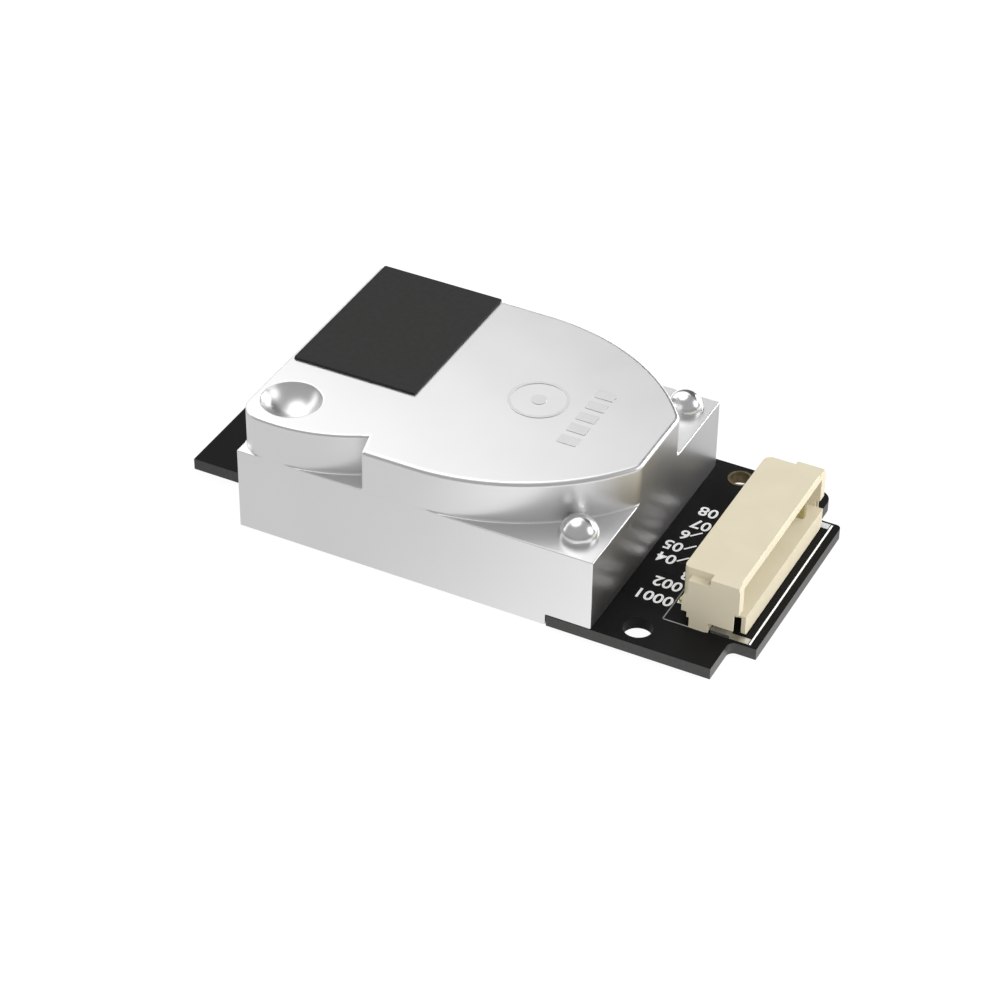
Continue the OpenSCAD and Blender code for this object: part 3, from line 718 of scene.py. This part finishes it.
def pin_numbers():
    """Printed pin numbers, one row per contact, three of them with a leader stroke towards the header."""
    size, weight = 1.95, 0.03
    leader_w, leader_run, leader_rise = 0.17, 0.75, 0.85
    rows = [("0001", 42.05, 7.1), ("002", 41.9, 9.45), ("3", 41.95, 11.4), ("04", 39.7, 12.95),
            ("05", 39.5, 14.95), ("6", 39.3, 17.0), ("07", 40.6, 19.05), ("08", 40.4, 21.2)]
    leaders = [(39.85, 12.95), (39.7, 14.95), (39.4, 17.05)]
    made = []
    for text, x, y in rows:
        mesh = number_mesh(text, size, weight)
        mesh.transform(Matrix.Translation((x, y, BOARD_T + INK_T / 2)))
        row = bpy.data.objects.new("pin_numbers", mesh)
        bpy.context.scene.collection.objects.link(row)
        made.append(row)
    bm = bmesh.new()
    for x, y in leaders:
        stroke(bm, (x, y), (x + leader_run, y + leader_rise), leader_w)
    return joined(made + [object_from("leaders", bm)])


finish_piece(circuit_board(), [solder_mask, board_edge], ["board"])
finish_piece(plated_rings(), dull_ring, ["hole_rings"])
finish_piece(front_line(), print_ink)
finish_piece(back_outline(), print_faint)
finish_piece(pin_numbers(), print_ink)


# Header

HEADER_SIDE = 1.0           # thickness of the end walls
HEADER_BASE = 2.3           # underside of the housing between its feet
MOUTH_LOW = 3.5
MOUTH_HIGH = 6.75
SHOULDER_X = HEADER_LOW.x + 3
PAST = 1.0                  # how far cutters and joined blocks run on


def header_body():
    """The housing's narrow rear half and its full-width front half."""
    x0, y0 = HEADER_LOW.x, HEADER_LOW.y
    x1, y1, top = HEADER_HIGH
    near, far = y0 + 0.9, y1 - 0.5
    near_r, far_r = 0.5, 0.8
    top_edge = 0.15
    rear = arc((x0 + near_r, near + near_r), near_r, 180, 270, 6)
    rear += [(SHOULDER_X + PAST, near), (SHOULDER_X + PAST, far)]
    rear += arc((x0 + far_r, far - far_r), far_r, 90, 180, 6)
    obj = prism("header_housing_body", rear, HEADER_BASE, top)
    front = [(SHOULDER_X, HEADER_BASE), (x1, HEADER_BASE), (x1, MOUTH_HIGH), (x1 - top_edge, top),
             (SHOULDER_X, top)]
    return add(obj, prism("front", front, y0, y1, "y"))


def add_header_ends(obj):
    """Cheek, ear and foot at each end of the housing."""
    x0 = HEADER_LOW.x
    cheek, ear, foot = x0 + 0.85, x0 + 0.3, x0 + 1.1
    ledge = 6.5
    ear_low, ear_bend, ear_high, ear_slope = 2.9, 4.5, 4.93, 0.38
    ear_profile = [(ear, ear_low), (cheek + PAST, ear_low), (cheek + PAST, ear_high),
                   (ear + ear_slope, ear_high), (ear, ear_bend)]
    for y in (HEADER_LOW.y, HEADER_HIGH.y - HEADER_SIDE):
        end = y + HEADER_SIDE
        add(obj, block("cheek", (cheek, y, HEADER_BASE), (SHOULDER_X + PAST, end, ledge)))
        add(obj, prism("ear", ear_profile, y, end, "y"))
        add(obj, block("foot", (foot, y, BOARD_T), (SHOULDER_X, end, HEADER_BASE + PAST)))


def cut_header_slots(obj, lip_back):
    """A slot at each front corner: an open corner, a pocket in the end wall and a tunnel behind the lip."""
    y0 = HEADER_LOW.y
    x1, y1 = HEADER_HIGH.x, HEADER_HIGH.y
    slot_back, slot_x, slot_z, slot_depth = x1 - 1.4, x1 - 0.45, 4.25, 4
    outer_skin, inner_skin, roof_skin = 0.12, 0.1, 0.2
    low = HEADER_BASE - PAST
    pocket_w = HEADER_SIDE - outer_skin - inner_skin
    for y in (y0 - PAST, y1 - HEADER_SIDE):
        cut(obj, block("corner", (slot_x, y, low), (x1 + PAST, y + HEADER_SIDE + PAST, slot_z)))
    for y in (y0 + outer_skin, y1 - HEADER_SIDE + inner_skin):
        cut(obj, block("pocket", (slot_back, y, low), (x1, y + pocket_w, slot_z)))
    for y in (y0 + HEADER_SIDE, y1 - HEADER_SIDE - slot_depth):
        cut(obj, block("slot", (slot_back, y - PAST / 2, low),
                       (lip_back, y + slot_depth + PAST / 2, MOUTH_LOW - roof_skin)))


def header_housing():
    """Cream side-entry header, with its mouth towards +X."""
    x0, y0 = HEADER_LOW.x, HEADER_LOW.y
    x1, y1, top = HEADER_HIGH
    lip_back, lip_front, lip_r, floor_gap = x1 - 0.07, x1 + 0.35, 0.5, 0.1
    mouth_back = x0 + 1.3
    slope_back, slope_front, slope_top = x1 - 0.4, x1 + 0.3, top + 0.1375
    slope_foot = (x1 + 0.1, MOUTH_HIGH + 0.1)
    nick_l, nick_near, nick_far, nick_z = 0.4, 0.35, 0.9, 6
    edge_round = 0.06
    near, far = y0 + HEADER_SIDE, y1 - HEADER_SIDE

    obj = header_body()
    add_header_ends(obj)
    cut_header_slots(obj, lip_back)
    lip = rounded_box((near, BOARD_T + floor_gap), (far, MOUTH_LOW + HEADER_SIDE), lip_r)
    add(obj, prism("lip", lip, lip_back, lip_front, "x"))
    cut(obj, block("mouth", (mouth_back, near, MOUTH_LOW), (x1 + PAST, far, MOUTH_HIGH)))
    slope = [(slope_back, slope_top), slope_foot, (slope_front, slope_top)]
    cut(obj, prism("roof_slope", slope, near, far, "y"))
    cut(obj, block("nick", (SHOULDER_X - nick_l, y0 + nick_near, nick_z),
                   (SHOULDER_X, y0 + nick_far, top + PAST)))
    return smooth(bevel(obj, edge_round, 3, 50))


finish_piece(header_housing(), cream, ["header_housing"])


# Carried-over CAD nodes

def dress(names, material):
    """Gives CAD nodes a material."""
    for name in names:
        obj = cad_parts[name]
        obj.data.materials.clear()
        obj.data.materials.append(material)


def clear_glass():
    """Clear glass for the lamp's bulb."""
    glass = detailed("bulb_glass", (0.90, 0.94, 0.95), (0.95, 0.97, 0.98), (0.01, 0.03))
    glass.node_tree.nodes["Principled BSDF"].inputs["Transmission Weight"].default_value = 1.0
    return glass


chip_black = detailed("chip_epoxy", (0.02, 0.02, 0.022), (0.03, 0.03, 0.033), (0.5, 0.6), grain=10.0)
dress(["reflector_tray"], plated)
dress(["membrane_adhesive"], detailed("adhesive", (0.012, 0.012, 0.012), (0.02, 0.02, 0.02), (0.5, 0.6)))
dress(["lamp_leads", "chip_leads", "chip_end_caps", "header_anchors", "contact_pads", "anchor_pads",
       "solder_joints"], tinned)
dress(["header_contacts"], contact_metal)
dress(["test_pads", "detector_header", "detector_pins"], gold)
dress(["detector_can"], detailed("detector_steel", (0.60, 0.58, 0.52), (0.70, 0.68, 0.62), (0.25, 0.35),
                                 metallic=1.0))
dress(["detector_gasket"], detailed("foam", (0.015, 0.015, 0.015), (0.03, 0.03, 0.03), (0.85, 0.95),
                                    relief=0.6))
dress(["microcontroller", "op_amp", "regulator", "lamp_driver"], chip_black)
dress(["chip_resistors"], detailed("resistor_glaze", (0.015, 0.015, 0.015), (0.03, 0.03, 0.03), (0.3, 0.4)))
dress(["chip_capacitors"], detailed("capacitor_ceramic", (0.35, 0.24, 0.13), (0.48, 0.34, 0.2), (0.45, 0.6)))
dress(["tantalum_capacitor"], detailed("tantalum_epoxy", (0.60, 0.38, 0.05), (0.72, 0.48, 0.08), (0.4, 0.5)))
dress(["crystal"], detailed("crystal_ceramic", (0.50, 0.46, 0.38), (0.62, 0.58, 0.5), (0.3, 0.45)))
dress(["thermistor"], detailed("thermistor_ceramic", (0.06, 0.16, 0.1), (0.1, 0.24, 0.15), (0.4, 0.5)))
dress(["lamp_spacer"], detailed("silicone", (0.70, 0.67, 0.6), (0.80, 0.77, 0.7), (0.6, 0.7)))
dress(["lamp_base"], detailed("glass_bead", (0.55, 0.62, 0.6), (0.7, 0.76, 0.74), (0.1, 0.2)))
dress(["lamp_filament"], detailed("tungsten", (0.12, 0.12, 0.13), (0.2, 0.2, 0.22), (0.4, 0.5), metallic=1.0))
dress(["detector_windows"], detailed("filter_coating", (0.16, 0.08, 0.24), (0.26, 0.14, 0.36), (0.04, 0.08),
                                     metallic=0.8))
dress(["detector_chips"], detailed("silicon", (0.10, 0.10, 0.13), (0.16, 0.16, 0.2), (0.1, 0.2),
                                   metallic=0.5))
dress(["lamp_bulb"], clear_glass())


# Studio

def view_axes():
    """The camera's back, right and up directions at the product's three-quarter view."""
    azimuth, elevation, roll = (math.radians(angle) for angle in (26.35, 37.06, 0.85))
    back = Vector((math.sin(azimuth) * math.cos(elevation), -math.cos(azimuth) * math.cos(elevation),
                   math.sin(elevation)))
    level = Vector((math.cos(azimuth), math.sin(azimuth), 0))
    above = back.cross(level)
    right = level * math.cos(roll) + above * math.sin(roll)
    return back, right, back.cross(right)


def patch(nodes, toward, axis, reach):
    """One where a direction is within reach of an axis, in degrees, fading to zero at its edge."""
    softness = 0.2
    inner = math.cos(math.radians(reach * (1 - softness)))
    outer = math.cos(math.radians(reach * (1 + softness)))
    return nodes.soft_step(nodes.dot(toward, axis.normalized()), outer, inner)


def studio_floor():
    """A plain pale floor, evenly lit.

    Its tone for reflections rises from left to right, drops towards the module's far side and rises
    again beyond it. Reflections also see two bright cards that lie on it in front."""
    half = 3.0
    paper_tone, paper_roughness = 0.9, 0.8
    camera_tone, diffuse_tone = 1.08, 0.65
    shadow_share = 0.12
    left, right, left_tone, right_tone = -0.033, 0.004, 0.72, 1.08
    far_side, far_tone = (0.0, 0.03), 0.62
    beyond, beyond_tone = (0.045, 0.07), 1.7
    cards, card_tone, card_core = [((-0.10, -0.28), 0.12), ((0.17, -0.20), 0.08)], 1.8, 0.6
    bm = bmesh.new()
    bmesh.ops.create_grid(bm, x_segments=1, y_segments=1, size=half)
    bm.transform(Matrix.Translation((0, 0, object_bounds()[0][2])))
    floor = object_from("studio_floor", bm)
    material = bpy.data.materials.new("floor_paper")
    material.use_nodes = True
    tree = material.node_tree
    nodes = Nodes(tree)
    paper = tree.nodes["Principled BSDF"]
    paper.inputs["Base Color"].default_value = (paper_tone, paper_tone, paper_tone, 1)
    paper.inputs["Roughness"].default_value = paper_roughness
    paper.inputs["Specular IOR Level"].default_value = 0.0
    place = tree.nodes.new("ShaderNodeTexCoord").outputs["Object"]
    mirrored = nodes.soft_step(nodes.dot(place, (1, 0, 0)), left, right, left_tone, right_tone)
    depth = nodes.dot(place, (0, 1, 0))
    mirrored = nodes.blend(nodes.soft_step(depth, *far_side), mirrored, far_tone)
    mirrored = nodes.blend(nodes.soft_step(depth, *beyond), mirrored, beyond_tone)
    for (x, y), radius in cards:
        away = nodes.distance(place, (x, y, 0))
        mirrored = nodes.blend(nodes.soft_step(away, radius, radius * card_core), mirrored, card_tone)
    rays = tree.nodes.new("ShaderNodeLightPath")
    seen = nodes.blend(rays.outputs["Is Diffuse Ray"], mirrored, diffuse_tone)
    seen = nodes.blend(rays.outputs["Is Camera Ray"], seen, camera_tone)
    glow = tree.nodes.new("ShaderNodeEmission")
    nodes.feed(glow.inputs["Strength"], seen)
    share = nodes.blend(rays.outputs["Is Camera Ray"], 1.0, 1 - shadow_share)
    mix = tree.nodes.new("ShaderNodeMixShader")
    nodes.feed(mix.inputs[0], share)
    nodes.feed(mix.inputs[1], paper.outputs[0])
    nodes.feed(mix.inputs[2], glow.outputs[0])
    nodes.feed(tree.nodes["Material Output"].inputs["Surface"], mix.outputs[0])
    floor.data.materials.append(material)
    floor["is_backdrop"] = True


def studio_world():
    """White surroundings. Reflections see a large soft box behind, two small ones and a dark horizon."""
    back, right, up = view_axes()
    box_tone, box_low, box_high = 1.08, 0.1, 2.1
    box_slope = Vector((6.4, 12.0, -10.5))
    front_edge, front_tone = (-0.02, 0.2), 0.42
    horizon_edge, horizon_tone = (0.28, 0.08), 0.25
    small_boxes = [(right * -0.2 + up * 0.91 + back * 0.365, 22),
                   (right * 0.89 + up * 0.28 + back * 0.358, 17)]
    small_tone = 1.9
    camera_tone, diffuse_tone = 1.0, 0.66
    world = bpy.data.worlds.new("studio")
    world.use_nodes = True
    tree = world.node_tree
    nodes = Nodes(tree)
    toward = tree.nodes.new("ShaderNodeTexCoord").outputs["Generated"]
    rays = tree.nodes.new("ShaderNodeLightPath")

    # The large soft box fades from its left near part to its right far part
    box = nodes.math("SUBTRACT", box_tone, nodes.dot(toward, box_slope))
    box = nodes.math("MAXIMUM", nodes.math("MINIMUM", box, box_high), box_low)
    surround = nodes.blend(nodes.soft_step(nodes.dot(toward, back), *front_edge), box, front_tone)
    height = nodes.math("ABSOLUTE", nodes.dot(toward, (0, 0, 1)))
    surround = nodes.blend(nodes.soft_step(height, *horizon_edge), surround, horizon_tone)
    for axis, reach in small_boxes:
        surround = nodes.blend(patch(nodes, toward, axis, reach), surround, small_tone)

    plain = nodes.blend(rays.outputs["Is Diffuse Ray"], camera_tone, diffuse_tone)
    strength = nodes.blend(rays.outputs["Is Glossy Ray"], plain, surround)
    nodes.feed(tree.nodes["Background"].inputs["Strength"], strength)
    tree.nodes["Background"].inputs["Color"].default_value = (1, 1, 1, 1)
    bpy.context.scene.world = world


def soft_light(name, azimuth, elevation, distance, size, power, mirrored=False):
    """A soft box that faces the module from a direction in degrees, and is mirrored in it or not."""
    turn, rise = math.radians(azimuth), math.radians(elevation)
    away = Vector((math.cos(turn) * math.cos(rise), math.sin(turn) * math.cos(rise), math.sin(rise)))
    data = bpy.data.lights.new(name, "AREA")
    data.shape = "SQUARE"
    data.size = size
    data.energy = power
    light = bpy.data.objects.new(name, data)
    light.location = away * distance
    light.rotation_euler = (-away).to_track_quat("-Z", "Y").to_euler()
    light.visible_glossy = mirrored
    bpy.context.scene.collection.objects.link(light)


def camera():
    """Camera at the product's three-quarter view, from the view axes and a target on the module."""
    back, right, up = view_axes()
    target = Vector((22.2, 12.95, 3.7))
    distance, shift_right, shift_up = 292.6, -0.9, -1.24
    focal_length, sensor_w, nearest = 110.7, 36, 0.01
    place = target + back * distance + right * shift_right + up * shift_up
    data = bpy.data.cameras.new("camera")
    data.lens = focal_length
    data.sensor_width = sensor_w
    data.clip_start = nearest
    obj = bpy.data.objects.new("camera", data)
    obj.matrix_world = (Matrix.Translation(CORNER + place * MM)
                        @ Matrix((right, up, back)).transposed().to_4x4())
    bpy.context.scene.collection.objects.link(obj)
    bpy.context.scene.camera = obj


studio_floor()
studio_world()
soft_light("right_fill", azimuth=-5, elevation=32, distance=0.6, size=0.3, power=2.1)
soft_light("far_rim", azimuth=64, elevation=6, distance=0.6, size=0.3, power=2.2, mirrored=True)
camera()
bpy.context.scene.view_settings.view_transform = "Standard"
